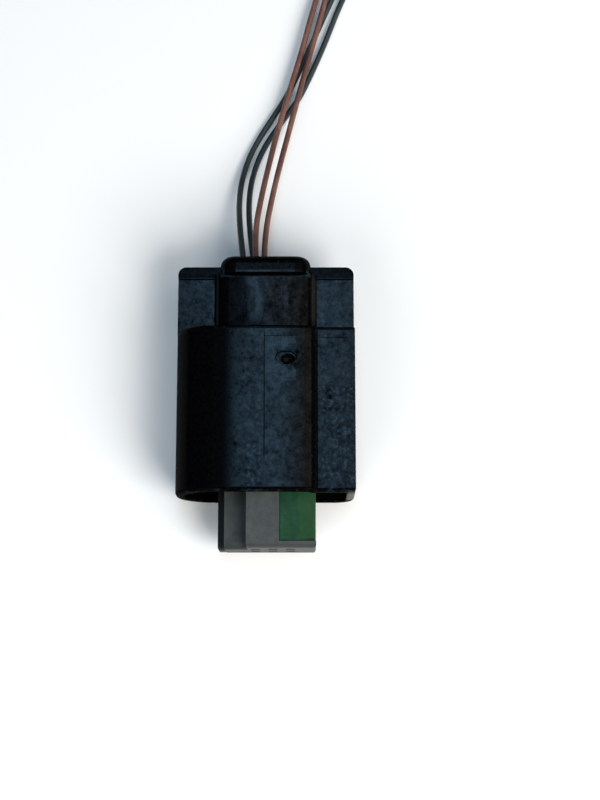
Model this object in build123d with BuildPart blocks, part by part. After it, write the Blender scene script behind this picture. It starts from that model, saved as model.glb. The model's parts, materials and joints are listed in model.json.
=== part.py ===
from build123d import *
from math import pi, radians, tan
import os

# A sealed six-way plug connector with four wires, lying on its back.
# X runs across it, Y from the mating end (-Y) to the wire end (+Y) and Z up from the surface.
# All sizes are in millimetres.

# shroud, the black outer moulding below the ledge
half_width = 20.5
crown_height = 21.0
crown_left_height = 20.0
crown_right_height = 20.5
crown_peak_x = -1.0
end_radius = 9.4
panel_height = 19.0
panel_step_x = 12.7
step_radius = 4.0
panel_corner_radius = 1.5
back_corner_radius = 5.0
shroud_length = 38.0
shroud_wall = 2.0
rim_round = 0.8
ledge_round = 0.5

# column, collar and flange above the ledge
column_length = 17.0
column_half = 11.8
column_bottom = 1.0
column_side_top = 19.4
column_top = 20.0
column_corner = 3.6
collar_height = 4.2
collar_half = 10.4
collar_bottom = 1.6
collar_top = 19.9
collar_round = 2.2
groove_width = 1.1
groove_depth = 1.3
flange_back = 9.2
flange_thickness = 3.0
flange_drop = 1.1
flange_corner = 1.9
flange_lip_width = 2.8
flange_lip_height = 0.6

# marks of the mould on the front
mark_depth = 0.3
gate_mark_size = (7.3, 10.4)
gate_mark_place = (3.4, 8.8)
gate_crater_size = (4.4, 2.8)
gate_crater_place = (4.8, 9.0)
gate_crater_depth = 0.9
crater_flare = 20.0
panel_mark_size = (5.8, 10.8)
panel_mark_place = (15.4, 8.7)

# latch tongue in the back wall of the shroud
latch_width = 9.0
latch_length = 12.0
latch_slot = 1.0
latch_window = (5.0, 3.0)
latch_window_setback = 3.0

# terminal carrier
carrier_out = 12.1
carrier_back = 3.9
carrier_front = 15.7
carrier_right = 11.6
block_left = -4.2
rib_left = -9.3
rib_height = 11.7
strip_left = -10.8
strip_back = 4.6
strip_height = 9.4
root_length = 8.0
root_corner = 1.2
carrier_round = 0.7
stem_length = 10.0
stem_half = 9.0
stem_back = 4.3
stem_front = 15.3
stem_corner = 1.5
stem_fit = 0.15
seat_setback = 15.45

# snap ears on the stem and their windows in the tower
ear_length = 3.0
ear_height = 0.9
ear_width = 4.0
ear_setback = 2.5
window_gap = 0.3
tower_wall = 1.8
core_depth = 13.6

# terminal cavities
cavity_pitch = 4.0
cavity_first_x = -2.2
cavity_middle_z = 9.8
cavity_size = 2.6
front_wall = 1.2
pin_hole = 1.2
pin_funnel = 2.2
pin_funnel_depth = 0.5

# secondary lock
lock_left = 3.4
lock_back = 13.7
lock_front = 15.4
lock_right = 11.5
lock_leg = 2.1
lock_leg_back = 7.0
lock_length = 15.0
lock_lip = 1.6
lock_fit = 0.1
lock_facet_x = 7.8
lock_facet_drop = 0.45
lock_round = 0.8
blade_thickness = 1.1
blade_length = 2.2
blade_setback = 10.0
blade_tip_x = -2.9
tooth_width = 1.2
tooth_height = 2.3

# interface seal round the root of the carrier
ring_height = 2.6
ring_setback = 2.2
ring_depth = 0.7
ring_proud = 0.6
ring_lips = 2
ring_lip_height = 0.3

# wire seals, cavity plugs and the cap that holds them
seal_radius = 1.65
seal_length = 8.0
seal_body_radius = 1.3
seal_lips = 3
seal_fit = 0.02
plug_head_radius = 1.1
plug_head_length = 1.4
cap_thickness = 2.4
cap_fit = 0.2
cap_hole_radius = 1.2
cap_peg_radius = 0.8
cap_peg_length = 3.0
cap_peg_x = -6.6
cap_peg_spread = 3.5
peg_fit = 0.1

# wire outlet through the collar
bore_stop = 7.5
outlet_left = -7.4
outlet_right = 7.4
outlet_back = 4.4
outlet_front = 15.4
outlet_corner = 1.8

# terminals
wire_diameter = 1.4
strand_diameter = 0.8
contact_setback = 0.3
cage_size = 2.3
cage_wall = 0.2
cage_length = 8.0
contact_size = 1.8
contact_wall = 0.25
contact_gap = 0.3
neck_width = 1.2
neck_height = 0.8
neck_length = 3.2
crimp_length = 2.2
crimp_radius = 0.65
crimp_gap = 0.7
grip_radius = 1.0
grip_length = 2.0
grip_fit = 0.02
straight_past_seal = 5.0

# how far a cut runs past a face, how far a joined piece sinks in, and small edge breaks
cut_past = 1.0
sunk = 0.5
small_break = 0.3
arc_share = 0.45

# places worked out from the sizes above
half_length = (column_length + shroud_length + carrier_out) / 2
collar_end = half_length
ledge = collar_end - column_length
rim = ledge - shroud_length
carrier_end = -half_length
seat = rim + seat_setback
root_start = seat - root_length
stem_end = seat + stem_length
bore_end = collar_end - bore_stop
core_end = seat + core_depth
seal_start = stem_end - seal_length
lock_end = carrier_end + lock_lip
lock_start = lock_end + lock_length
blade_start = carrier_end + blade_setback
blade_end = blade_start + blade_length
cavity_start = carrier_end + front_wall
contact_start = cavity_start + contact_setback
cage_end = contact_start + cage_length
neck_end = cage_end + neck_length
crimp_end = neck_end + crimp_length
insulation_start = crimp_end + crimp_gap
grip_end = insulation_start + grip_length
bore_half = stem_half + stem_fit
bore_back = stem_back - stem_fit
bore_front = stem_front + stem_fit
tower_half = bore_half + tower_wall
column_x = [cavity_first_x + column * cavity_pitch for column in range(3)]
row_z = [cavity_middle_z - cavity_pitch / 2, cavity_middle_z + cavity_pitch / 2]
wire_places = [(x, z) for z in row_z for x in column_x[:2]]
plug_places = [(column_x[2], z) for z in row_z]
all_places = wire_places + plug_places

# free lengths of the wires beyond the cap, chosen by hand
wire_routes = [
    [
        (-3.6, 20.0, 8.1),
        (-4.9, 31.0, 8.6),
        (-6.4, 43.0, 6.8),
        (-6.9, 53.0, 3.2),
        (-5.6, 61.0, 1.2),
        (-3.1, 67.2, 0.75),
        (0.6, 73.4, 0.74),
        (5.0, 80.4, 0.75),
        (9.9, 91.5, 0.74),
        (14.4, 102.4, 0.75),
        (19.0, 112.6, 0.74),
        (21.6, 123.0, 0.75),
        (21.4, 133.0, 0.74),
    ],
    [
        (-0.3, 20.0, 8.0),
        (-2.4, 31.0, 8.4),
        (-4.1, 43.0, 6.5),
        (-4.5, 52.5, 3.4),
        (-3.4, 60.0, 1.4),
        (-1.0, 66.4, 0.75),
        (2.8, 72.4, 0.74),
        (7.6, 79.0, 0.75),
        (10.9, 86.2, 0.74),
        (14.3, 94.4, 0.75),
        (18.0, 104.6, 0.74),
        (22.6, 114.4, 0.75),
        (27.0, 123.6, 0.74),
        (29.4, 133.0, 0.75),
    ],
    [
        (-2.7, 20.0, 12.1),
        (-2.3, 31.0, 12.3),
        (-2.7, 42.0, 10.8),
        (-1.3, 51.5, 7.8),
        (0.3, 60.0, 5.2),
        (2.0, 68.0, 3.5),
        (3.9, 75.5, 2.6),
        (6.0, 83.0, 2.3),
        (8.3, 91.0, 2.25),
        (10.4, 99.4, 2.2),
        (12.5, 107.2, 1.6),
        (13.5, 116.0, 0.76),
        (12.9, 125.0, 0.74),
        (11.2, 132.6, 0.75),
    ],
    [
        (0.4, 20.0, 12.0),
        (-0.6, 31.0, 12.3),
        (-0.2, 42.0, 10.7),
        (1.3, 51.5, 7.7),
        (3.1, 60.5, 5.2),
        (4.9, 68.2, 3.7),
        (6.6, 75.4, 2.9),
        (8.5, 83.0, 2.5),
        (11.0, 92.4, 2.3),
        (13.6, 102.4, 2.2),
        (15.5, 110.8, 1.2),
        (16.9, 119.4, 0.75),
        (17.1, 128.0, 0.74),
        (16.2, 135.6, 0.75),
    ],
]
held_start = seal_start
held_end = stem_end + straight_past_seal


# planes across the connector: local x is X, local y is Z, and extrusions run towards the mating end
def across(y):
    return Plane.XZ.offset(-y)


def block(y, left, right, back, front, corner=0.0):
    with BuildSketch(across(y)) as outline:
        with Locations(((left + right) / 2, (back + front) / 2)):
            if corner > 0:
                RectangleRounded(right - left, front - back, corner)
            else:
                Rectangle(right - left, front - back)
    return outline.sketch


# section of the shroud: a crowned barrel with a round left end, beside a lower flat panel
def shroud_section(y, inset=0.0):
    left = -half_width + inset
    barrel_right = panel_step_x - inset
    with BuildSketch(across(y)) as section:
        with BuildLine():
            Line((left, inset), (barrel_right, inset))
            Line((barrel_right, inset), (barrel_right, crown_right_height - inset))
            ThreePointArc(
                (barrel_right, crown_right_height - inset),
                (crown_peak_x, crown_height - inset),
                (left, crown_left_height - inset),
            )
            Line((left, crown_left_height - inset), (left, inset))
        make_face()
        by_side = section.vertices().group_by(Axis.X)
        fillet(by_side[0], end_radius - inset)
        fillet(section.vertices().group_by(Axis.X)[-1].sort_by(Axis.Y)[-1], step_radius - inset)
        with Locations(((half_width - inset) / 2, panel_height / 2)):
            Rectangle(half_width - inset, panel_height - 2 * inset)
        right_side = section.vertices().group_by(Axis.X)[-1].sort_by(Axis.Y)
        fillet(right_side[0], back_corner_radius - inset)
        fillet(right_side[-1], max(panel_corner_radius - inset, small_break))
    return section.sketch


with BuildPart() as outer_housing:
    extrude(shroud_section(ledge), amount=shroud_length)
    fillet(outer_housing.faces().sort_by(Axis.Y)[0].edges(), rim_round)
    fillet(outer_housing.faces().sort_by(Axis.Y)[-1].edges(), ledge_round)

    # column with a shallow ridge down its front
    with BuildSketch(across(collar_end - collar_height)) as column:
        with BuildLine():
            Polyline(
                (-column_half, column_bottom),
                (column_half, column_bottom),
                (column_half, column_side_top),
                (0, column_top),
                (-column_half, column_side_top),
                close=True,
            )
        make_face()
        corners = column.vertices().sort_by(Axis.X)
        fillet(corners[:2] + corners[-2:], column_corner)
    extrude(column.sketch, amount=column_length - collar_height + ledge_round)

    # collar round the wire outlet
    extrude(
        block(collar_end, -collar_half, collar_half, collar_bottom, collar_top, column_corner),
        amount=collar_height,
    )
    fillet(outer_housing.faces().sort_by(Axis.Y)[-1].edges(), collar_round)

    # flange behind the column, with a raised lip along its free end
    flange_top = collar_end - flange_drop
    flange_front = flange_back + flange_thickness
    with BuildSketch(Plane.XY.offset(flange_back)) as flange:
        with Locations((0, (flange_top + ledge - ledge_round) / 2)):
            Rectangle(2 * half_width, flange_top - ledge + ledge_round)
        fillet(flange.vertices().group_by(Axis.Y)[-1], flange_corner)
    extrude(flange.sketch, amount=flange_thickness)
    with BuildSketch(Plane.XY.offset(flange_front)) as lip:
        with Locations((0, flange_top - flange_lip_width / 2)):
            Rectangle(2 * half_width, flange_lip_width)
        fillet(lip.vertices().group_by(Axis.Y)[-1], flange_corner)
    extrude(lip.sketch, amount=flange_lip_height)

    # groove beneath the collar
    groove_top = collar_end - collar_height
    groove_front = column_side_top - groove_depth
    extrude(
        block(groove_top, -collar_half, collar_half, groove_front, column_top + groove_depth),
        amount=groove_width,
        mode=Mode.SUBTRACT,
    )

    # socket for the mating part, and core pockets beside the tower
    extrude(shroud_section(seat, shroud_wall), amount=seat - rim, mode=Mode.SUBTRACT)
    with BuildSketch(across(core_end)) as cores:
        add(shroud_section(core_end, shroud_wall))
        with Locations((0, crown_height / 2)):
            Rectangle(2 * tower_half, crown_height, mode=Mode.SUBTRACT)
    extrude(cores.sketch, amount=core_end - seat, mode=Mode.SUBTRACT)

    # bore for the stem of the carrier, and the wire outlet
    extrude(
        block(bore_end, -bore_half, bore_half, bore_back, bore_front, stem_corner),
        amount=bore_end - seat,
        mode=Mode.SUBTRACT,
    )
    extrude(
        block(collar_end, outlet_left, outlet_right, outlet_back, outlet_front, outlet_corner),
        amount=bore_stop,
        mode=Mode.SUBTRACT,
    )

    # windows in the tower for the snap ears
    window_length = ear_length + 2 * window_gap
    with BuildSketch(Plane.XY.offset(cavity_middle_z - ear_width / 2 - window_gap)) as windows:
        for side in (-1, 1):
            with Locations((side * (bore_half + tower_wall / 2), seat + ear_setback + ear_length / 2)):
                Rectangle(tower_wall + sunk, window_length)
    extrude(windows.sketch, amount=ear_width + 2 * window_gap, mode=Mode.SUBTRACT)

    # latch tongue cut free in the back wall, with its window
    with BuildSketch(Plane.XY) as latch_cut:
        with Locations((0, rim + latch_length / 2)):
            Rectangle(latch_width + 2 * latch_slot, latch_length)
            Rectangle(latch_width, latch_length, mode=Mode.SUBTRACT)
        with Locations((0, rim + latch_window_setback + latch_window[1] / 2)):
            Rectangle(*latch_window)
    extrude(latch_cut.sketch, amount=shroud_wall + cut_past / 5, mode=Mode.SUBTRACT)

    # shallow marks of the mould on the crown and on the panel
    with BuildSketch(Plane.XY.offset(crown_height - mark_depth)) as gate_mark:
        with Locations(gate_mark_place):
            Rectangle(*gate_mark_size)
    extrude(gate_mark.sketch, amount=cut_past, mode=Mode.SUBTRACT)
    with BuildSketch(Plane.XY.offset(crown_height - gate_crater_depth)) as crater:
        with Locations(gate_crater_place):
            Ellipse(gate_crater_size[0] / 2, gate_crater_size[1] / 2)
    extrude(crater.sketch, amount=cut_past, taper=-crater_flare, mode=Mode.SUBTRACT)
    with BuildSketch(Plane.XY.offset(panel_height - mark_depth)) as panel_mark:
        with Locations(panel_mark_place):
            Rectangle(*panel_mark_size)
    extrude(panel_mark.sketch, amount=cut_past, mode=Mode.SUBTRACT)
outer_housing.part.label = "outer_housing"


with BuildPart() as terminal_carrier:
    head_length = root_start - carrier_end
    extrude(block(root_start, block_left, carrier_right, carrier_back, carrier_front), amount=head_length)
    extrude(block(root_start, rib_left, block_left, carrier_back, rib_height), amount=head_length)
    extrude(block(root_start, strip_left, rib_left, strip_back, strip_height), amount=head_length)
    fillet(terminal_carrier.faces().sort_by(Axis.Y)[0].edges(), carrier_round)
    extrude(
        block(seat, strip_left, carrier_right, carrier_back, carrier_front, root_corner),
        amount=root_length,
    )
    extrude(
        block(stem_end, -stem_half, stem_half, stem_back, stem_front, stem_corner),
        amount=stem_length,
    )

    # groove of the interface seal
    groove_start = seat - ring_setback
    with BuildSketch(across(groove_start)) as ring_groove:
        add(block(groove_start, strip_left, carrier_right, carrier_back, carrier_front))
        add(
            block(
                groove_start,
                strip_left + ring_depth,
                carrier_right - ring_depth,
                carrier_back + ring_depth,
                carrier_front - ring_depth,
                root_corner,
            ),
            mode=Mode.SUBTRACT,
        )
    extrude(ring_groove.sketch, amount=ring_height, mode=Mode.SUBTRACT)

    # snap ears, ramped on the side that enters first
    for side in (-1, 1):
        with BuildSketch(Plane.XY.offset(cavity_middle_z - ear_width / 2)) as ear:
            with BuildLine():
                Polyline(
                    (side * (stem_half - sunk), seat + ear_setback),
                    (side * (stem_half + ear_height), seat + ear_setback),
                    (side * (stem_half + ear_height), seat + ear_setback + ear_length / 3),
                    (side * (stem_half - sunk), seat + ear_setback + ear_length),
                    close=True,
                )
            make_face()
        extrude(ear.sketch, amount=ear_width)

    # cavities: square for the contacts, round behind for the seals, with a funnel in front for each pin
    for x, z in all_places:
        half = cavity_size / 2
        extrude(
            block(seal_start, x - half, x + half, z - half, z + half),
            amount=seal_start - cavity_start,
            mode=Mode.SUBTRACT,
        )
        with BuildSketch(across(stem_end)) as seal_bore:
            with Locations((x, z)):
                Circle(seal_radius)
        extrude(seal_bore.sketch, amount=seal_length, mode=Mode.SUBTRACT)
        extrude(
            block(cavity_start, x - pin_hole / 2, x + pin_hole / 2, z - pin_hole / 2, z + pin_hole / 2),
            amount=front_wall,
            mode=Mode.SUBTRACT,
        )
        with BuildSketch(across(carrier_end)) as mouth:
            with Locations((x, z)):
                Rectangle(pin_funnel, pin_funnel)
        with BuildSketch(across(carrier_end + pin_funnel_depth)) as throat:
            with Locations((x, z)):
                Rectangle(pin_hole, pin_hole)
        loft([mouth.sketch, throat.sketch], mode=Mode.SUBTRACT)

    # pocket of the secondary lock: over the block, down its side and through the web between the rows
    pocket_start = lock_start + lock_fit
    pocket_length = lock_length + 2 * lock_fit
    extrude(
        block(pocket_start, lock_left - lock_fit, carrier_right + cut_past, lock_back - lock_fit, carrier_front + cut_past),
        amount=pocket_length,
        mode=Mode.SUBTRACT,
    )
    extrude(
        block(
            pocket_start,
            lock_right - lock_leg - lock_fit,
            carrier_right + cut_past,
            lock_leg_back - lock_fit,
            carrier_front + cut_past,
        ),
        amount=pocket_length,
        mode=Mode.SUBTRACT,
    )
    slot_half = tooth_height / 2 + lock_fit
    extrude(
        block(
            blade_end + lock_fit,
            blade_tip_x - lock_fit,
            carrier_right + cut_past,
            cavity_middle_z - slot_half,
            cavity_middle_z + slot_half,
        ),
        amount=blade_length + 2 * lock_fit,
        mode=Mode.SUBTRACT,
    )

    # blind holes for the pegs of the cap
    with BuildSketch(across(stem_end)) as peg_holes:
        with Locations(
            (cap_peg_x, cavity_middle_z - cap_peg_spread),
            (cap_peg_x, cavity_middle_z + cap_peg_spread),
        ):
            Circle(cap_peg_radius + peg_fit)
    extrude(peg_holes.sketch, amount=cap_peg_length + peg_fit, mode=Mode.SUBTRACT)
terminal_carrier.part.label = "terminal_carrier"


with BuildPart() as secondary_lock:
    with BuildSketch(across(lock_start)) as plate:
        with BuildLine():
            Polyline(
                (lock_left, lock_back),
                (lock_left, lock_front),
                (lock_facet_x, lock_front),
                (lock_right, lock_front - lock_facet_drop),
                (lock_right, lock_leg_back),
                (lock_right - lock_leg, lock_leg_back),
                (lock_right - lock_leg, lock_back),
                close=True,
            )
        make_face()
        fillet(plate.vertices().group_by(Axis.X)[-1].sort_by(Axis.Y)[-1], lock_round)
    extrude(plate.sketch, amount=lock_length)
    # blade between the rows, with a tooth behind every contact
    extrude(
        block(
            blade_end,
            blade_tip_x,
            lock_right - lock_leg,
            cavity_middle_z - blade_thickness / 2,
            cavity_middle_z + blade_thickness / 2,
        ),
        amount=blade_length,
    )
    for x in column_x:
        extrude(
            block(
                blade_end,
                x - tooth_width / 2,
                x + tooth_width / 2,
                cavity_middle_z - tooth_height / 2,
                cavity_middle_z + tooth_height / 2,
            ),
            amount=blade_length,
        )
secondary_lock.part.label = "secondary_lock"


with BuildPart() as interface_seal:
    ring_start = seat - ring_setback

    def ring_outline(y, proud):
        return block(
            y,
            strip_left - proud,
            carrier_right + proud,
            carrier_back - proud,
            carrier_front + proud,
            root_corner + proud,
        )

    extrude(ring_outline(ring_start, ring_proud - ring_lip_height), amount=ring_height)
    lip_pitch = ring_height / ring_lips
    for lip_number in range(ring_lips):
        lip_place = ring_start - (lip_number + 1 / 4) * lip_pitch
        extrude(ring_outline(lip_place, ring_proud), amount=lip_pitch / 2)
    extrude(ring_outline(ring_start, -ring_depth), amount=ring_height, mode=Mode.SUBTRACT)
interface_seal.part.label = "interface_seal"


with BuildPart() as rear_cap:
    cap_end = stem_end + cap_thickness
    extrude(
        block(
            cap_end,
            -bore_half + cap_fit,
            bore_half - cap_fit,
            bore_back + cap_fit,
            bore_front - cap_fit,
            stem_corner,
        ),
        amount=cap_thickness,
    )
    with BuildSketch(across(cap_end)) as wire_holes:
        with Locations(*all_places):
            Circle(cap_hole_radius)
    extrude(wire_holes.sketch, amount=cap_thickness, mode=Mode.SUBTRACT)
    chamfer(rear_cap.faces().sort_by(Axis.Y)[-1].inner_wires().edges(), small_break)
    with BuildSketch(across(stem_end)) as pegs:
        with Locations(
            (cap_peg_x, cavity_middle_z - cap_peg_spread),
            (cap_peg_x, cavity_middle_z + cap_peg_spread),
        ):
            Circle(cap_peg_radius)
    extrude(pegs.sketch, amount=cap_peg_length)
rear_cap.part.label = "rear_cap"


# half section of a ribbed silicone seal or plug, turned about its own axis
def seal_profile(inner_radius):
    lip = seal_length / (2 * seal_lips + 1)
    points = [(inner_radius, 0), (seal_body_radius, 0)]
    for number in range(seal_lips):
        foot = (2 * number + 1) * lip
        points += [
            (seal_body_radius, foot - 0.25 * lip),
            (seal_radius - seal_fit, foot + 0.25 * lip),
            (seal_radius - seal_fit, foot + 0.75 * lip),
            (seal_body_radius, foot + 1.25 * lip),
        ]
    points += [(seal_body_radius, seal_length), (inner_radius, seal_length)]
    return points


def seal_axis(x, z):
    return Plane(origin=(x, seal_start, z), x_dir=(1, 0, 0), z_dir=(0, 0, 1))


small_parts = []
for number, (x, z) in enumerate(wire_places, start=1):
    with BuildPart() as wire_seal:
        with BuildSketch(seal_axis(x, z)) as seal_half:
            with BuildLine():
                Polyline(*seal_profile(wire_diameter / 2 + seal_fit), close=True)
            make_face()
        revolve(seal_half.sketch, axis=Axis((x, 0, z), (0, 1, 0)))
    wire_seal.part.label = f"wire_seal_{number}"
    small_parts.append(wire_seal.part)

for number, (x, z) in enumerate(plug_places, start=1):
    with BuildPart() as cavity_plug:
        with BuildSketch(seal_axis(x, z)) as plug_half:
            with BuildLine():
                Polyline(*seal_profile(0), close=True)
            make_face()
        revolve(plug_half.sketch, axis=Axis((x, 0, z), (0, 1, 0)))
        with BuildSketch(across(stem_end + plug_head_length)) as plug_head:
            with Locations((x, z)):
                Circle(plug_head_radius)
        extrude(plug_head.sketch, amount=plug_head_length)
        fillet(cavity_plug.faces().sort_by(Axis.Y)[-1].edges(), small_break)
    cavity_plug.part.label = f"cavity_plug_{number}"
    small_parts.append(cavity_plug.part)


# a tube of square section between two places along the connector
def square_tube(start, end, x, z, size, wall):
    inner = size / 2 - wall
    outer = size / 2
    with BuildSketch(across(end)) as ring:
        add(block(end, x - outer, x + outer, z - outer, z + outer))
        add(block(end, x - inner, x + inner, z - inner, z + inner), mode=Mode.SUBTRACT)
    return ring.sketch


for number, (x, z) in enumerate(wire_places, start=1):
    # copper contact: box, neck, then the crimps round the strands and the insulation
    with BuildPart() as terminal:
        box_start = contact_start + contact_gap
        box_end = cage_end
        floor = z - neck_height / 2
        extrude(
            square_tube(box_start, box_end, x, z, contact_size, contact_wall),
            amount=box_end - box_start,
        )
        box_half = contact_size / 2
        extrude(
            block(box_end, x - box_half, x + box_half, z - box_half, z + box_half),
            amount=contact_wall,
        )
        extrude(
            block(neck_end, x - neck_width / 2, x + neck_width / 2, floor, floor + neck_height),
            amount=neck_length,
        )
        extrude(
            block(
                neck_end,
                x - neck_width / 2 + contact_wall,
                x + neck_width / 2 - contact_wall,
                floor + contact_wall,
                floor + neck_height,
            ),
            amount=neck_length,
            mode=Mode.SUBTRACT,
        )
        with BuildSketch(across(crimp_end)) as strand_crimp:
            with Locations((x, z)):
                Circle(crimp_radius)
                Circle(strand_diameter / 2 + grip_fit, mode=Mode.SUBTRACT)
        extrude(strand_crimp.sketch, amount=crimp_length)
        with BuildSketch(across(grip_end)) as insulation_grip:
            with Locations((x, z)):
                Circle(grip_radius)
                Circle(wire_diameter / 2 + grip_fit, mode=Mode.SUBTRACT)
        extrude(insulation_grip.sketch, amount=grip_length)
        grip_floor = z - wire_diameter / 2 - grip_fit
        extrude(
            block(
                insulation_start + grip_length / 2,
                x - neck_width / 2,
                x + neck_width / 2,
                z - grip_radius,
                grip_floor,
            ),
            amount=insulation_start + grip_length / 2 - crimp_end,
        )
        extrude(
            block(
                crimp_end,
                x - neck_width / 2,
                x + neck_width / 2,
                z - grip_radius,
                z - strand_diameter / 2 - grip_fit,
            ),
            amount=contact_wall,
        )
    terminal.part.label = f"terminal_{number}"
    small_parts.append(terminal.part)

    # steel cage over the contact
    with BuildPart() as terminal_spring:
        extrude(
            square_tube(contact_start, cage_end, x, z, cage_size, cage_wall),
            amount=cage_length,
        )
    terminal_spring.part.label = f"terminal_spring_{number}"
    small_parts.append(terminal_spring.part)


# radius of the arc at each corner of a route, from its two runs and the turn between them
def corner_radii(points):
    radii = []
    for before, corner, after in zip(points, points[1:], points[2:]):
        arriving = corner - before
        leaving = after - corner
        half_turn = radians(arriving.get_angle(leaving)) / 2
        radii.append(arc_share * min(arriving.length, leaving.length) / tan(half_turn))
    return radii


for number, (x, z) in enumerate(wire_places, start=1):
    held = [(x, held_start, z), (x, held_end, z)]
    points = [Vector(*point) for point in held + wire_routes[number - 1]]
    radii = corner_radii(points)
    with BuildPart() as wire:
        with BuildLine() as route:
            FilletPolyline(*points, radius=radii)
        with BuildSketch(across(held_start)) as section:
            with Locations((x, z)):
                Circle(wire_diameter / 2)
        path = route.wires()[0]
        sweep(section.sketch, path=path)
        tube_volume = wire.part.volume
        extrude(section.sketch, amount=held_start - insulation_start)
        with BuildSketch(across(insulation_start)) as strands:
            with Locations((x, z)):
                Circle(strand_diameter / 2)
        extrude(strands.sketch, amount=insulation_start - neck_end)
    ideal = pi * wire_diameter**2 / 4 * path.length
    print(
        f"wire_{number}",
        "route",
        round(path.length, 1),
        "volume share",
        round(tube_volume / ideal, 4),
        "radii",
        [round(radius, 1) for radius in radii],
    )
    wire.part.label = f"wire_{number}"
    small_parts.append(wire.part)


os.makedirs("parts", exist_ok=True)
large_parts = [
    outer_housing.part,
    terminal_carrier.part,
    secondary_lock.part,
    interface_seal.part,
    rear_cap.part,
]
for piece in large_parts + small_parts:
    export_step(piece, f"parts/{piece.label}.step")
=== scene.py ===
import bpy
import json
import math
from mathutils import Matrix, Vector


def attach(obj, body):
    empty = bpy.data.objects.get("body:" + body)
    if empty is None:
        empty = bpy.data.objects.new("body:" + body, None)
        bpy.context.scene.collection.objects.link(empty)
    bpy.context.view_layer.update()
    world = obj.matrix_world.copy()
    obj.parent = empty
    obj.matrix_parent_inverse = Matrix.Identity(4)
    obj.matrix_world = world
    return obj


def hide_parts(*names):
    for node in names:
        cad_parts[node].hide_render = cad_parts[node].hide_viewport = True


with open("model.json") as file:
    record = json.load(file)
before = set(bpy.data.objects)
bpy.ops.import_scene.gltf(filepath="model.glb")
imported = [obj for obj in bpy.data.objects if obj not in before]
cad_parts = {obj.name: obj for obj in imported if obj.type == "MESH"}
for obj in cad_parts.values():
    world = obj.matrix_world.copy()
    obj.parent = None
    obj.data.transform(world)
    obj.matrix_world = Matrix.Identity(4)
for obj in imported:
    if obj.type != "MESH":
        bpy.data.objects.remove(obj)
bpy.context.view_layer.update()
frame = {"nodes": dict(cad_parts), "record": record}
bpy.ops.object.select_all(action="DESELECT")
print("frame loaded with", len(frame["nodes"]), "nodes")

mm = 0.001


# camera, at the place that the photograph was taken from
cameraSet = {
    "aim": (7.96, -0.95, 21.0),      # mm, the point in the middle of the picture
    "distance": 350.0,               # mm
    "tiltDeg": 11.6,                 # away from straight down, towards the mating end
    "pixelsPerMm": 4.45,             # at the aim point
    "imageHeight": 800,
    "sensor": 36.0,
    "clip": (0.01, 20),              # metres
}


def makeCamera(c):
    data = bpy.data.cameras.new("viewCamera")
    cam = bpy.data.objects.new("viewCamera", data)
    bpy.context.scene.collection.objects.link(cam)
    tilt = math.radians(c["tiltDeg"])
    away = Vector((0, -math.sin(tilt), math.cos(tilt)))
    cam.location = (Vector(c["aim"]) + away * c["distance"]) * mm
    cam.rotation_euler = (tilt, 0, 0)
    data.sensor_width = c["sensor"]
    data.lens = c["pixelsPerMm"] * c["distance"] / c["imageHeight"] * c["sensor"]
    data.clip_start, data.clip_end = c["clip"]
    bpy.context.scene.camera = cam
    return cam


makeCamera(cameraSet)
print("camera placed")


# shader maths
class Flow:
    def __init__(self, bench, socket):
        self.bench = bench
        self.socket = socket

    def calc(self, operation, first, second=None, clamp=False):
        settings = {"operation": operation, "use_clamp": clamp}
        values = {0: first} if second is None else {0: first, 1: second}
        return self.bench.node("ShaderNodeMath", settings, values)

    def __add__(self, other):
        return self.calc("ADD", self, other)

    def __sub__(self, other):
        return self.calc("SUBTRACT", self, other)

    def __rsub__(self, other):
        return self.calc("SUBTRACT", other, self)

    def __mul__(self, other):
        return self.calc("MULTIPLY", self, other)

    def __truediv__(self, other):
        return self.calc("DIVIDE", self, other)

    def __rtruediv__(self, other):
        return self.calc("DIVIDE", other, self)

    def __pow__(self, other):
        return self.calc("POWER", self, other)

    __radd__ = __add__
    __rmul__ = __mul__

    def size(self):
        return self.calc("ABSOLUTE", self)

    def clamped(self):
        return self.calc("ADD", self, 0.0, clamp=True)

    def larger(self, other):
        return self.calc("MAXIMUM", self, other)

    # 0 below low, 1 above high, smooth between
    def rise(self, low, high):
        settings = {"interpolation_type": "SMOOTHSTEP"}
        values = {0: self, 1: low, 2: high, 3: 0.0, 4: 1.0}
        return self.bench.node("ShaderNodeMapRange", settings, values)

    def fall(self, low, high):
        return 1 - self.rise(low, high)

    # 1 between low and high, with soft ends
    def band(self, low, high, soft):
        return self.rise(low - soft, low + soft) * self.fall(high - soft, high + soft)


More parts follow.
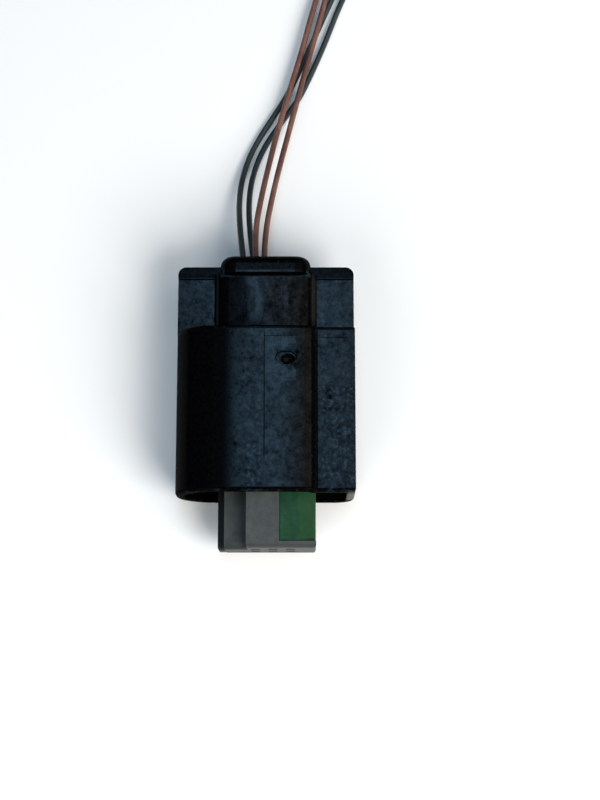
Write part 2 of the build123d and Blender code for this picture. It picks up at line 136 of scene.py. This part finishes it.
class Bench:
    def __init__(self, name):
        self.material = bpy.data.materials.new(name)
        self.material.use_nodes = True
        self.tree = self.material.node_tree
        self.tree.nodes.clear()
        self.place = self.node("ShaderNodeTexCoord", {}, {}, "Object")
        parts = self.node("ShaderNodeSeparateXYZ", {}, {0: self.place}, None)
        self.x = Flow(self, parts.outputs[0])
        self.y = Flow(self, parts.outputs[1])
        self.z = Flow(self, parts.outputs[2])

    # any node: its settings first, then its values or links, and the output that is wanted
    def node(self, kind, settings, values, output=0):
        made = self.tree.nodes.new(kind)
        for key, value in settings.items():
            setattr(made, key, value)
        for key, value in values.items():
            if isinstance(value, Flow):
                self.tree.links.new(value.socket, made.inputs[key])
            else:
                made.inputs[key].default_value = value
        if output is None:
            return made
        return Flow(self, made.outputs[output])

    def stretched(self, scale):
        return self.node("ShaderNodeMapping", {}, {"Vector": self.place, "Scale": scale})

    def noise(self, scale, detail=3.0, rough=0.55, vector=None, offset=0.0):
        values = {
            "Vector": vector or self.place,
            "Scale": scale,
            "Detail": detail,
            "Roughness": rough,
            "W": offset,
        }
        return self.node("ShaderNodeTexNoise", {"noise_dimensions": "4D"}, values, 0)

    def blend(self, share, first, second):
        values = {0: share, 6: colour4(first), 7: colour4(second)}
        return self.node("ShaderNodeMix", {"data_type": "RGBA"}, values, 2)

    def bump(self, height, distance, strength=1.0):
        values = {"Height": height, "Distance": distance, "Strength": strength}
        return self.node("ShaderNodeBump", {}, values, 0)

    def layer(self, colour, roughness, normal, **fixed):
        values = {"Base Color": colour4(colour), "Roughness": roughness, "Normal": normal, **fixed}
        return self.node("ShaderNodeBsdfPrincipled", {}, values, 0)

    def close(self, colour, roughness, normal, **fixed):
        return self.finish(self.layer(colour, roughness, normal, **fixed))

    def mixed(self, share, first, second):
        return self.node("ShaderNodeMixShader", {}, {0: share, 1: first, 2: second})

    def finish(self, shader):
        self.node("ShaderNodeOutputMaterial", {}, {"Surface": shader}, None)
        return self.material

    # distance from a point in the XY plane, as a share of an ellipse's half axes
    def ellipse(self, x, y, halfX, halfY):
        across = (self.x - x) / halfX
        along = (self.y - y) / halfY
        return (across * across + along * along) ** 0.5


def colour4(value):
    if isinstance(value, Flow) or len(value) == 4:
        return value
    return (*value, 1.0)


# places in these sets are in metres: two values are where a change starts and where it is whole,
# three are the ends of a strip and how soft they are, four are a centre and its half axes
housingSet = {
    "dullness": 0.44,                                  # on average, 0 is clean
    "front": (0.0150, 0.0175),                         # Z
    "barrelEnd": (0.0156, 0.0160),                     # Y
    "behindLedge": (0.0160, 0.0168),                   # Y
    "column": (0.0170, 0.0292, 0.0005),                # Y
    "panelEdge": (0.0124, 0.0132),                     # X
    "lowerPanel": (0.0022, 0.0034),                    # Y
    "speckledStrip": (-0.0048, -0.0006, 0.0008),       # X
    "speckledEnd": (-0.0110, -0.0060),                 # Y
    "smearHeight": (0.0184, 0.0284, 0.0024),           # Y
    "smearLeft": (-0.0046, -0.0003, 0.0018),           # X
    "smearRight": (0.0020, 0.0052, 0.0016),            # X
    "halo": (0.0052, 0.0088, 0.0036, 0.0030),
    "crater": (0.0053, 0.0087, 0.0018, 0.0014),
    "stubLitSide": (0.0048, 0.0086, 0.0007, 0.0006),
    "streakWidth": (0.0038, 0.0052, 0.0003),           # X
    "streakHeight": (0.0104, 0.0136, 0.0006),          # Y
    "gateWidth": (-0.0002, 0.0068, 0.0001),            # X
    "gateHeight": (0.0037, 0.0139, 0.0001),            # Y
    "gateLine": (-0.0002, 0.0001, 0.0001),             # X
    "steep": (-0.0098, -0.0048),                       # X
    "columnSide": (0.0104, 0.0110),                    # X, either side
    "columnRoot": (0.0125, 0.0130),                    # Z
    "bead": (0.0294, 0.0300),                          # Y
    "rimBand": (-0.0207, -0.0203),                     # Y
    "rimEnd": (-0.0213, -0.0209),                      # Y
    "groove": (0.0157, 0.0167, 0.0001),                # Y
    "seamPlace": -0.0001,                              # X
    "seamWidth": (0.00006, 0.00016),
    "seamLength": (-0.0140, 0.0150, 0.0010),           # Y
    "sheenLinePlace": 0.0111,                                # X
    "sheenLineWidth": (0.00020, 0.00090),
    "sheenLineLength": (0.0178, 0.0284, 0.0016),             # Y
    "palePatchSide": (0.0184, 0.0190),                     # X
    "palePatchHeight": (0.0055, 0.0175, 0.0022),           # Z
    "clean": ((0.0008, 0.0008, 0.0009), (0.0016, 0.0020, 0.0024)),
    "stubLitColour": (0.012, 0.013, 0.012),
    "smearSheenColour": (0.022, 0.036, 0.052),
    "glintColour": (0.010, 0.022, 0.034),
    "dustColour": (0.020, 0.034, 0.046),
    "sheenLineColour": (0.048, 0.040, 0.030),
    "palePatchColour": (0.21, 0.205, 0.188),
    "rimEndColour": (0.050, 0.045, 0.030),
}


# black moulded plastic: glossy where it is clean, dull where it is stained or worn
def housingPlastic(s):
    b = Bench("housingPlastic")
    grain = b.noise(2600)
    mottle = b.noise(520, 4.0, 0.65)
    fine = b.noise(1300, 3.0, 0.6, offset=3.0)
    broad = b.noise(110, 3.0, 0.6, offset=9.0)
    front = b.z.rise(*s["front"])
    onBarrel = b.y.fall(*s["barrelEnd"])
    behindLedge = b.y.rise(*s["behindLedge"])
    onColumn = b.y.band(*s["column"]) * front
    panel = b.x.rise(*s["panelEdge"]) * onBarrel

    # how dull it is, from 0 for clean to 1
    dull = s["dullness"] + (mottle - 0.5) * 1.8 + (fine - 0.5) * 1.5 + (broad - 0.5) * 0.9
    lowerPanel = panel * b.y.fall(*s["lowerPanel"])
    lowerBarrel = b.x.band(*s["speckledStrip"]) * b.y.fall(*s["speckledEnd"]) * onBarrel
    speckled = lowerPanel.larger(lowerBarrel) * front
    dull = dull + speckled * ((fine - 0.5) * -2.6 + 0.06)

    # two glossy smears on the column, with ragged sides; their bluish colour, set further down, is
    # a painted reflection
    smearNoise = b.noise(260, 4.0, 0.7, vector=b.stretched((1.0, 0.35, 1.0)), offset=5.0)
    ragged = b.x + (mottle - 0.5) * 0.0030
    smeared = onColumn * b.y.band(*s["smearHeight"])
    streaks = smearNoise.rise(0.42, 0.66) * mottle.rise(0.30, 0.60)
    smearAndSheen = smeared * ragged.band(*s["smearLeft"]) * streaks
    fainter = smearNoise.rise(0.44, 0.66) * 0.7
    smearAndSheen = smearAndSheen.larger(smeared * ragged.band(*s["smearRight"]) * fainter)
    dull = dull + onColumn * 0.20 - smearAndSheen * 1.1

    # mark of the gate: a dull halo, a glossy streak and the faint square round them
    halo = b.ellipse(*s["halo"]).fall(0.60, 1.15) * front
    dull = dull + halo * mottle.rise(0.30, 0.66) * 0.34
    gateStreak = b.x.band(*s["streakWidth"]) * b.y.band(*s["streakHeight"]) * front
    gateRows = b.y.band(*s["gateHeight"]) * front
    gateMark = b.x.band(*s["gateWidth"]) * gateRows
    gateEdge = b.x.band(*s["gateLine"]) * gateRows
    dull = dull - gateStreak * 0.4 - gateMark * 0.10 - gateEdge * 0.3

    # places that show no reflection at all
    steep = b.x.fall(*s["steep"]) * 0.92 * (onBarrel + behindLedge * front * 0.85)
    sides = b.x.size().rise(*s["columnSide"]) * behindLedge * b.z.rise(*s["columnRoot"]) * 0.9
    bead = b.y.rise(*s["bead"]) * (0.87 + (fine - 0.5) * 0.6)
    rimBand = b.y.fall(*s["rimBand"]) * 0.97
    groove = b.y.band(*s["groove"]) * 0.9
    crater = b.ellipse(*s["crater"]).fall(0.85, 1.05) * front
    fromSeam = (b.x - s["seamPlace"]).size()
    seam = fromSeam.fall(*s["seamWidth"]) * front * b.y.band(*s["seamLength"]) * 0.7
    for place in (steep, sides, bead, rimBand, groove, crater, seam):
        dull = dull.larger(place)
    dull = dull.clamped()

    # stub of the gate with its side painted lighter, the smears' painted reflection, painted
    # glints, dust, a painted highlight beside the column, and a pale patch and a brownish tone on
    # the rim's end
    base = b.blend(fine.rise(0.40, 0.65), *s["clean"])
    # the gate stub is real; its lighter colour is painted light on its left side
    stubLitSide = b.ellipse(*s["stubLitSide"]).fall(0.6, 1.1) * front
    base = b.blend(stubLitSide * 0.6, base, s["stubLitColour"])
    # painted reflection: the smears coloured bluish and lighter than the clean plastic
    base = b.blend(smearAndSheen * 0.8, base, s["smearSheenColour"])
    glint = fine.rise(0.55, 0.64) * speckled * (1 - crater)
    base = b.blend(glint * 0.8, base, s["glintColour"])
    specks = b.noise(2100, 2.0, 0.5, offset=12.0).rise(0.64, 0.72)
    dust = specks * front * (1 - steep) * 0.45
    base = b.blend(dust, base, s["dustColour"])
    # painted highlight: a brownish line along the column's right edge
    edge = (b.x - s["sheenLinePlace"]).size().fall(*s["sheenLineWidth"])
    sheenLine = edge * b.y.band(*s["sheenLineLength"]) * front * (0.5 + (broad - 0.5) * 0.9)
    base = b.blend(sheenLine * 0.36, base, s["sheenLineColour"])
    # an uneven pale patch on the end of the right wall
    rimEnd = b.y.fall(*s["rimEnd"])
    patchiness = 0.55 + (b.noise(150, 1.0, 0.4, offset=7.0) - 0.5) * 0.8
    palePatch = b.x.rise(*s["palePatchSide"]) * b.z.band(*s["palePatchHeight"]) * rimEnd * patchiness
    base = b.blend(palePatch, base, s["palePatchColour"])
    # a mottled brownish tone on the rim's end
    rimEndTone = rimEnd * (1 - palePatch) * mottle.rise(0.50, 0.66) * 0.25
    base = b.blend(rimEndTone, base, s["rimEndColour"])

    normal = b.bump(grain * 0.5 + mottle * 0.8 - seam * 3.0, 0.00002, 0.5)
    glossy = b.layer(base, 0.11 + grain * 0.06, normal, **{"Specular IOR Level": 0.2})
    matte = b.layer(base, 0.7, normal, **{"Specular IOR Level": 0.0})
    return b.finish(b.mixed(dull, glossy, matte))


carrierSet = {
    "colours": ((0.047, 0.053, 0.051), (0.074, 0.081, 0.078)),
    "strip": (-0.0095, -0.0091),                       # X
    "rib": (-0.0091, -0.0056, 0.0003),                 # X
    "lip": (-0.0331, -0.0325),                         # Y
    "besideBlock": (-0.0056, -0.0042, 0.0005),         # X
    "belowBlock": (0.0120, 0.0140),                    # Z
    "stripShade": (0.005, 0.006, 0.006),
    "ribShade": (0.010, 0.011, 0.011),
    "lipShade": (0.020, 0.022, 0.022),
    "blockShadeColour": (0.012, 0.013, 0.013),
}


# mid-grey moulded plastic, with painted shade on the strip and rib, on the bevel and beside the
# block
def carrierPlastic(s):
    b = Bench("carrierPlastic")
    grain = b.noise(1800)
    cloud = b.noise(160)
    spots = b.noise(900, 3.0, 0.65, offset=4.0)
    base = b.blend((cloud * 0.7 + spots * 0.3).rise(0.36, 0.64), *s["colours"])
    # painted shade: the strip darkened where the rib shades it, the rib a little, the lip's bevel
    # against the light it catches, and the block's shadow beside it
    base = b.blend(b.x.fall(*s["strip"]) * 0.92, base, s["stripShade"])
    base = b.blend(b.x.band(*s["rib"]) * 0.22, base, s["ribShade"])
    base = b.blend(b.y.fall(*s["lip"]) * 0.5, base, s["lipShade"])
    blockShade = b.x.band(*s["besideBlock"]) * b.z.fall(*s["belowBlock"])
    base = b.blend(blockShade * 0.5, base, s["blockShadeColour"])
    normal = b.bump(grain, 0.000012, 0.5)
    return b.close(base, 0.42 + grain * 0.12, normal, **{"Specular IOR Level": 0.12})


lockSet = {
    "colours": ((0.008, 0.040, 0.016), (0.017, 0.064, 0.029)),
    "rightFacet": (0.0077, 0.0079),                    # X
    "linePlace": -0.0263,                              # Y
    "lineWidth": (0.00006, 0.00018),
    "lineEnd": (0.0078, 0.0080),                       # X
    "facetLightColour": (0.015, 0.055, 0.017),
    "lineColour": (0.005, 0.020, 0.009),
}


# green moulded plastic, with painted light making its right facet yellower, and a faint line
# across
def lockPlastic(s):
    b = Bench("lockPlastic")
    grain = b.noise(1800)
    cloud = b.noise(200)
    stain = b.noise(420, 4.0, 0.65, offset=6.0)
    base = b.blend((cloud * 0.4 + stain * 0.6).rise(0.38, 0.62), *s["colours"])
    # painted light: the right facet, at another angle, coloured yellower
    base = b.blend(b.x.rise(*s["rightFacet"]) * 0.6, base, s["facetLightColour"])
    line = (b.y - s["linePlace"]).size().fall(*s["lineWidth"]) * b.x.fall(*s["lineEnd"])
    base = b.blend(line * 0.35, base, s["lineColour"])
    normal = b.bump(grain, 0.000012, 0.5)
    return b.close(base, 0.38 + grain * 0.12, normal, **{"Specular IOR Level": 0.12})


def plainPlastic(name, dark, light, roughness, grainScale):
    b = Bench(name)
    grain = b.noise(grainScale)
    cloud = b.noise(240)
    base = b.blend(cloud.rise(0.3, 0.7), dark, light)
    normal = b.bump(grain, 0.000012, 0.5)
    return b.close(base, roughness + grain * 0.12, normal)


def plainMetal(name, colour, roughness):
    b = Bench(name)
    drawn = b.noise(600, 2.0, vector=b.stretched((6, 0.4, 6)))
    base = b.blend(drawn.rise(0.3, 0.7), tuple(c * 0.85 for c in colour), colour)
    normal = b.bump(drawn, 0.000006, 0.4)
    return b.close(base, roughness + drawn * 0.15, normal, Metallic=1.0)


# wire insulation, drawn along its length, with slight stains and pale streaks painted along it as
# highlight
def insulation(name, dark, light, streakHighlight):
    b = Bench(name)
    drawn = b.noise(500, 2.0, vector=b.stretched((5, 0.5, 5)))
    stain = b.noise(130, offset=2.0)
    base = b.blend(stain.rise(0.35, 0.68), dark, light)
    # painted highlight: pale streaks along the length
    base = b.blend(drawn.rise(0.56, 0.72) * 0.5, base, streakHighlight)
    normal = b.bump(drawn, 0.00001, 0.4)
    return b.close(base, 0.38 + stain * 0.15, normal)


finishes = {
    "housing_plastic": housingPlastic(housingSet),
    "carrier_plastic": carrierPlastic(carrierSet),
    "lock_plastic": lockPlastic(lockSet),
    "cap_plastic": plainPlastic(
        "capPlastic", (0.012, 0.012, 0.013), (0.020, 0.020, 0.021), 0.4, 1800
    ),
    "silicone": plainPlastic("silicone", (0.30, 0.085, 0.035), (0.38, 0.12, 0.05), 0.36, 900),
    "plug_silicone": plainPlastic(
        "plugSilicone", (0.42, 0.41, 0.37), (0.55, 0.54, 0.50), 0.36, 900
    ),
    "tinned_copper": plainMetal("tinnedCopper", (0.66, 0.63, 0.58), 0.26),
    "spring_steel": plainMetal("springSteel", (0.58, 0.58, 0.60), 0.24),
    "dark_insulation": insulation(
        "darkInsulation", (0.016, 0.025, 0.026), (0.028, 0.041, 0.041), (0.06, 0.08, 0.08)
    ),
    "brown_insulation": insulation(
        "brownInsulation", (0.11, 0.045, 0.035), (0.19, 0.085, 0.065), (0.34, 0.20, 0.17)
    ),
}
copper = plainMetal("bareCopper", (0.72, 0.36, 0.20), 0.3)

for part in frame["record"]["subparts"]:
    node = frame["nodes"][part["node"]]
    node.data.materials.clear()
    node.data.materials.append(finishes[part["material_slot"]])
print("finishes made and set")


# wires: the same points as the routes of the solids, in millimetres
wireSet = {
    "diameter": 1.4,
    "roundSteps": 5,                 # round the insulation
    "routeSteps": 16,                # between two points of the route
    "heldStart": -4.0,
    "heldEnd": 9.0,
    "capEnd": 6.4,
    "cavities": [(-2.2, 7.8), (1.8, 7.8), (-2.2, 11.8), (1.8, 11.8)],
    "slots": ["dark_insulation", "dark_insulation", "brown_insulation", "brown_insulation"],
    "lengths": [144.2, 145.8, 139.8, 142.8],
    "strandsRound": 6,               # and one in the middle
    "strandSides": 12,
    "strandRadius": 0.12,
    "strandRing": 0.27,
    "strandEdge": 0.02,
    "strandUneven": 0.05,            # share of the length
    "strandOut": 0.35,
    "strandIn": 1.0,
}
wireRoutes = [
    [
        (-3.6, 20.0, 8.1),
        (-4.9, 31.0, 8.6),
        (-6.4, 43.0, 6.8),
        (-6.9, 53.0, 3.2),
        (-5.6, 61.0, 1.2),
        (-3.1, 67.2, 0.75),
        (0.6, 73.4, 0.74),
        (5.0, 80.4, 0.75),
        (9.9, 91.5, 0.74),
        (14.4, 102.4, 0.75),
        (19.0, 112.6, 0.74),
        (21.6, 123.0, 0.75),
        (21.4, 133.0, 0.74),
    ],
    [
        (-0.3, 20.0, 8.0),
        (-2.4, 31.0, 8.4),
        (-4.1, 43.0, 6.5),
        (-4.5, 52.5, 3.4),
        (-3.4, 60.0, 1.4),
        (-1.0, 66.4, 0.75),
        (2.8, 72.4, 0.74),
        (7.6, 79.0, 0.75),
        (10.9, 86.2, 0.74),
        (14.3, 94.4, 0.75),
        (18.0, 104.6, 0.74),
        (22.6, 114.4, 0.75),
        (27.0, 123.6, 0.74),
        (29.4, 133.0, 0.75),
    ],
    [
        (-2.7, 20.0, 12.1),
        (-2.3, 31.0, 12.3),
        (-2.7, 42.0, 10.8),
        (-1.3, 51.5, 7.8),
        (0.3, 60.0, 5.2),
        (2.0, 68.0, 3.5),
        (3.9, 75.5, 2.6),
        (6.0, 83.0, 2.3),
        (8.3, 91.0, 2.25),
        (10.4, 99.4, 2.2),
        (12.5, 107.2, 1.6),
        (13.5, 116.0, 0.76),
        (12.9, 125.0, 0.74),
        (11.2, 132.6, 0.75),
    ],
    [
        (0.4, 20.0, 12.0),
        (-0.6, 31.0, 12.3),
        (-0.2, 42.0, 10.7),
        (1.3, 51.5, 7.7),
        (3.1, 60.5, 5.2),
        (4.9, 68.2, 3.7),
        (6.6, 75.4, 2.9),
        (8.5, 83.0, 2.5),
        (11.0, 92.4, 2.3),
        (13.6, 102.4, 2.2),
        (15.5, 110.8, 1.2),
        (16.9, 119.4, 0.75),
        (17.1, 128.0, 0.74),
        (16.2, 135.6, 0.75),
    ],
]


def makeWireCurve(name, points, w, finish):
    data = bpy.data.curves.new(name, "CURVE")
    data.dimensions = "3D"
    data.bevel_depth = w["diameter"] / 2 * mm
    data.bevel_resolution = w["roundSteps"]
    data.resolution_u = w["routeSteps"]
    data.use_fill_caps = True
    spline = data.splines.new("NURBS")
    spline.points.add(len(points) - 1)
    for spot, point in zip(spline.points, points):
        spot.co = (*(Vector(point) * mm), 1)
    spline.order_u = 3
    spline.use_endpoint_u = True
    data.materials.append(finish)
    curve = bpy.data.objects.new(name, data)
    bpy.context.scene.collection.objects.link(curve)
    return curve


# the cut strands: one cylinder, bevelled at its cut end, copied round the middle one
def makeStrands(name, points, w):
    end = Vector(points[-1]) * mm
    along = (Vector(points[-1]) - Vector(points[-2])).normalized()
    turn = along.to_track_quat("Z", "Y")
    length = (w["strandOut"] + w["strandIn"]) * mm
    middle = end + along * (w["strandOut"] - w["strandIn"]) / 2 * mm
    made = []
    count = w["strandsRound"]
    for number in range(count + 1):
        angle = number * 2 * math.pi / count
        ring = w["strandRing"] * mm if number < count else 0.0
        side = Vector((math.cos(angle), math.sin(angle), 0)) * ring
        bpy.ops.mesh.primitive_cylinder_add(
            vertices=w["strandSides"],
            radius=w["strandRadius"] * mm,
            depth=length * (1 + w["strandUneven"] * math.sin(3.1 * number)),
            location=middle + turn @ side,
            rotation=turn.to_euler(),
        )
        made.append(bpy.context.object)
    for piece in made:
        piece.select_set(True)
    bpy.context.view_layer.objects.active = made[-1]
    bpy.ops.object.join()
    bundle = bpy.context.object
    bundle.name = name
    bevel = bundle.modifiers.new("edge", "BEVEL")
    bevel.width = w["strandEdge"] * mm
    bevel.segments = 2
    bpy.ops.object.modifier_apply(modifier=bevel.name)
    bpy.ops.object.transform_apply(location=True, rotation=True, scale=True)
    bpy.ops.object.shade_smooth_by_angle(angle=math.radians(40))
    bundle.data.materials.clear()
    bundle.data.materials.append(copper)
    bpy.ops.object.select_all(action="DESELECT")
    return bundle


for number, (cavity, route) in enumerate(zip(wireSet["cavities"], wireRoutes), start=1):
    x, z = cavity
    points = [(x, wireSet["heldStart"], z), (x, wireSet["heldEnd"], z), *route]
    slot = wireSet["slots"][number - 1]
    strands = makeStrands(f"wire_{number}_strands", points, wireSet)
    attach(strands, "connector")
    curve = makeWireCurve(f"wire_{number}_insulation", points, wireSet, finishes[slot])
    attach(curve, "connector")
    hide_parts(f"wire_{number}")
print("wires laid")


# floor and light
stageSet = {
    "floorSize": 6.0,
    "floorColour": (0.950, 0.935, 0.915),
    "worldColour": (0.85, 0.92, 1.0),
    "worldStrength": 0.02,
}
# each lamp: name, place, point that it faces, size, power and colour
lampSet = [
    (
        "overheadWindow", (-0.013, 0.14, 0.62), (-0.013, 0.14, 0.0),
        (0.118, 0.42), 0.74, (0.34, 0.66, 1.0),
    ),
    (
        "warmWall", (0.44, 0.14, 0.62), (0.44, 0.14, 0.0),
        (0.78, 0.5), 1.10, (1.0, 0.95, 0.85),
    ),
    (
        "keyBox", (0.78, -0.74, 0.86), (0.0, 0.0, 0.0),
        (0.9, 0.9), 24.0, (1.0, 0.99, 0.97),
    ),
    (
        "fillBox", (-0.62, -0.90, 0.72), (0.0, 0.0, 0.0),
        (0.9, 0.9), 8.0, (0.97, 0.99, 1.0),
    ),
]


def makeStage(s):
    bpy.ops.mesh.primitive_plane_add(size=s["floorSize"], location=(0, 0, 0))
    floor = bpy.context.object
    floor.name = "floor"
    b = Bench("floorPaper")
    fibres = b.noise(900, 2.0)
    floor.data.materials.append(b.close(s["floorColour"], 0.9, b.bump(fibres, 0.00001, 0.2)))
    bpy.ops.object.select_all(action="DESELECT")
    world = bpy.data.worlds.new("room")
    world.use_nodes = True
    ground = world.node_tree.nodes["Background"]
    ground.inputs["Color"].default_value = (*s["worldColour"], 1)
    ground.inputs["Strength"].default_value = s["worldStrength"]
    bpy.context.scene.world = world


def makeLamp(name, place, aim, size, power, colour):
    data = bpy.data.lights.new(name, "AREA")
    data.shape = "RECTANGLE"
    data.size, data.size_y = size
    data.energy = power
    data.color = colour
    lamp = bpy.data.objects.new(name, data)
    bpy.context.scene.collection.objects.link(lamp)
    lamp.location = place
    lamp.rotation_euler = (Vector(aim) - Vector(place)).to_track_quat("-Z", "Y").to_euler()


makeStage(stageSet)
for lamp in lampSet:
    makeLamp(*lamp)
bpy.context.scene.view_settings.view_transform = "Standard"
print("stage and light set")
